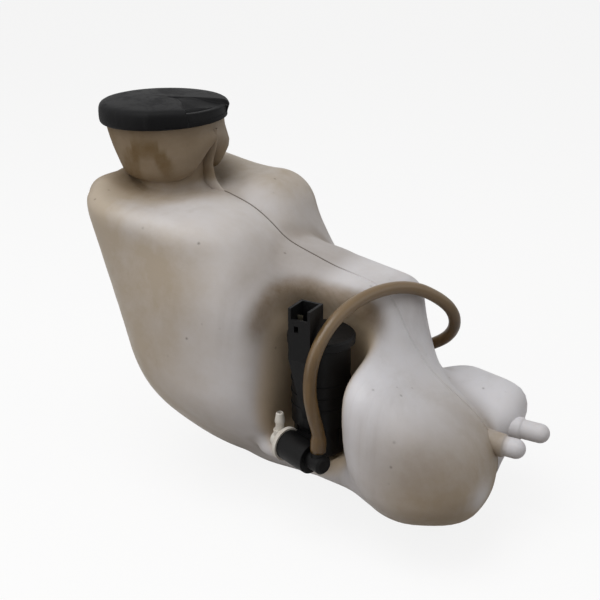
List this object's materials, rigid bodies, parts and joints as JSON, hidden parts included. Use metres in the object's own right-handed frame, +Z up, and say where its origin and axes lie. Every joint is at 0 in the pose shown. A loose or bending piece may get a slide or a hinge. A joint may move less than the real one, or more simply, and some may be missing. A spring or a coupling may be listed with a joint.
{
  "type": "washer fluid reservoir",
  "caption": "Used blow-moulded washer fluid reservoir with filler neck, lift-off cap, locating pegs, a twin-outlet pump in a pocket and its outlet hose.",
  "frame": {"origin": "middle of the part's box without the hose, on the level that it stands on", "axes": "+Z up along the filler neck, +X along the tank towards its pegs, +Y to the back"},
  "size_m": [0.2751, 0.1436, 0.2208],
  "materials": {
    "aged_polyethylene": "aged satin, stained",
    "cap_plastic": "worn satin black",
    "pump_plastic": "satin black",
    "white_plastic": "soft gloss",
    "rubber": "matte",
    "steel": "drawn",
    "core_iron": "laminated",
    "bronze": "sintered",
    "copper": "enamelled",
    "ferrite": "ground",
    "carbon": "pressed",
    "brown_plastic": "moulded",
    "tinned_brass": "tinned",
    "hose_vinyl": "aged, stained, slightly clear"
  },
  "bodies": {
    "tank_body": {"tank": "aged_polyethylene", "filler_neck": "aged_polyethylene", "pump_grommet": "rubber", "inlet_strainer": "white_plastic", "inlet_cover": "pump_plastic", "pump_chamber": "pump_plastic", "shaft_seal": "rubber", "motor_can": "steel", "lower_bush": "bronze", "magnets": "ferrite", "brushes": "carbon", "brush_plate": "brown_plastic", "upper_bush": "bronze", "pump_casing": "pump_plastic", "terminals": "tinned_brass", "front_outlet": "pump_plastic", "rear_outlet": "white_plastic", "hose": "hose_vinyl", "hose_connector": "pump_plastic"},
    "cap": {"filler_cap": "cap_plastic"},
    "rotor": {"motor_shaft": "steel", "armature": "core_iron", "windings": "copper", "commutator": "copper", "impeller": "white_plastic"},
    "diaphragm": {"valve_diaphragm": "rubber"}
  },
  "joints": [
    {"name": "cap_lift", "type": "slide", "parent": "tank_body", "child": "cap", "axis": [0, 0, 1], "range_m": [0, 0.04]},
    {"name": "rotor_spin", "type": "hinge", "parent": "tank_body", "child": "rotor", "pos_m": [0.024, -0.036, 0.08], "axis": [0, 0, 1], "continuous": true},
    {"name": "diaphragm_shift", "type": "slide", "parent": "tank_body", "child": "diaphragm", "axis": [0.9397, -0.342, 0], "range_m": [-0.0008, 0.0008]}
  ]
}
